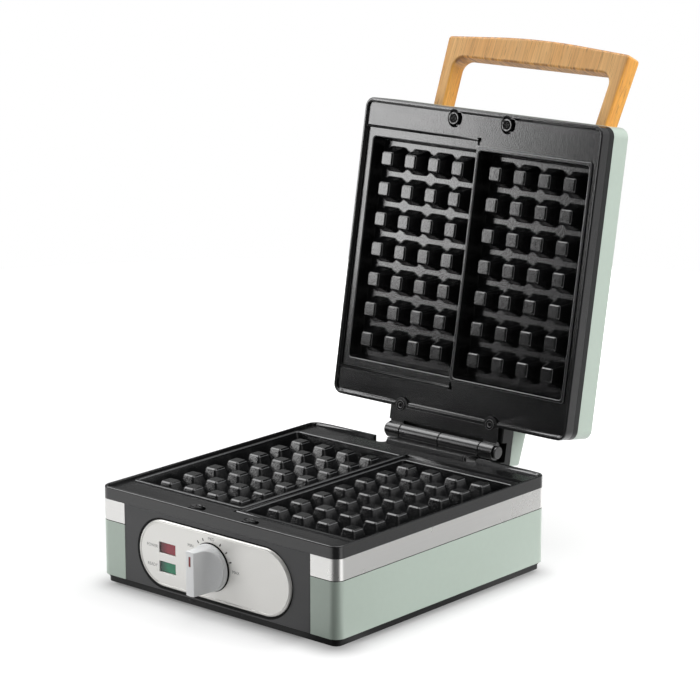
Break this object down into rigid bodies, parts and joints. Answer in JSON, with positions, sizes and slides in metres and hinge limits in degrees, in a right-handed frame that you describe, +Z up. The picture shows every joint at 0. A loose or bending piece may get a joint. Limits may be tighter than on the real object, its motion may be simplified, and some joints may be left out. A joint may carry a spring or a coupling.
{
  "type": "waffle maker",
  "caption": "Upright-lid electric waffle maker with deep-grid twin plates, a bail handle, a temperature knob and signal lamps.",
  "frame": {"origin": "on the table, under the middle of the base", "axes": "+Z up, +Y from the controls to the hinge, +X to the right seen from the controls"},
  "size_m": [0.25, 0.4432, 0.4077],
  "materials": {
    "mint_paint": "smooth mint green enamel",
    "brushed_band": "lengthwise brushed",
    "dark_plastic": "fine satin",
    "silver_fascia": "fine satin with a bright edge",
    "red_lens": "clear tinted",
    "green_lens": "clear tinted",
    "lamp_glass": "clear",
    "pale_plastic": "moulded",
    "sheet_steel": "zinc plated",
    "silver_plastic": "silver paint, satin",
    "red_mark": "painted",
    "nonstick": "cast, with a black non-stick coat",
    "element_steel": "heat darkened",
    "reflector_sheet": "bright",
    "black_screw": "blackened",
    "lead_sleeve": "silicone sleeve",
    "foot_rubber": "matt",
    "hinge_paint": "die-cast, with dark grey enamel",
    "handle_wood": "warm tan, fine straight grain"
  },
  "bodies": {
    "base": {"base_pan": "dark_plastic", "foot_pads": "foot_rubber", "lower_wrap": "mint_paint", "trim_band": "brushed_band", "front_panel": "dark_plastic", "control_fascia": "silver_fascia", "power_lamp_lens": "red_lens", "ready_lamp_lens": "green_lens", "lamp_bulbs": "lamp_glass", "lamp_holder": "dark_plastic", "thermostat_body": "pale_plastic", "thermostat_bracket": "sheet_steel", "lower_grill_plate": "nonstick", "lower_grill_studs": "nonstick", "lower_heating_element": "element_steel", "lower_heat_reflector": "reflector_sheet", "lower_element_clips": "sheet_steel", "plate_posts": "sheet_steel", "lower_plate_screws": "black_screw", "base_screws": "sheet_steel", "terminal_block": "pale_plastic", "thermostat_leads": "lead_sleeve", "thermal_fuse": "pale_plastic", "cable_gland": "dark_plastic", "gland_nut": "dark_plastic", "base_hinge_block": "hinge_paint", "hinge_pin": "sheet_steel", "hinge_pin_caps": "hinge_paint", "hinge_block_screws": "sheet_steel"},
    "knob": {"temperature_knob": "silver_plastic", "knob_pointer": "red_mark", "thermostat_spindle": "sheet_steel"},
    "lid": {"lid_hinge_leaf": "hinge_paint", "hinge_screws": "black_screw", "lid_frame": "dark_plastic", "lid_shell": "mint_paint", "upper_grill_plate": "nonstick", "upper_grill_studs": "nonstick", "upper_heating_element": "element_steel", "upper_heat_reflector": "reflector_sheet", "upper_element_clips": "sheet_steel", "lid_posts": "sheet_steel", "upper_plate_screws": "black_screw", "handle": "handle_wood", "handle_mounts": "dark_plastic", "handle_screws": "sheet_steel"}
  },
  "joints": [
    {"name": "lid_hinge", "type": "hinge", "parent": "base", "child": "lid", "pos_m": [0, 0.1491, 0.0832], "axis": [-1, 0, 0], "range_deg": [-100, 0]},
    {"name": "knob_turn", "type": "hinge", "parent": "base", "child": "knob", "pos_m": [-0.0025, -0.14, 0.0404], "axis": [0, 1, 0], "range_deg": [-60, 87]}
  ]
}
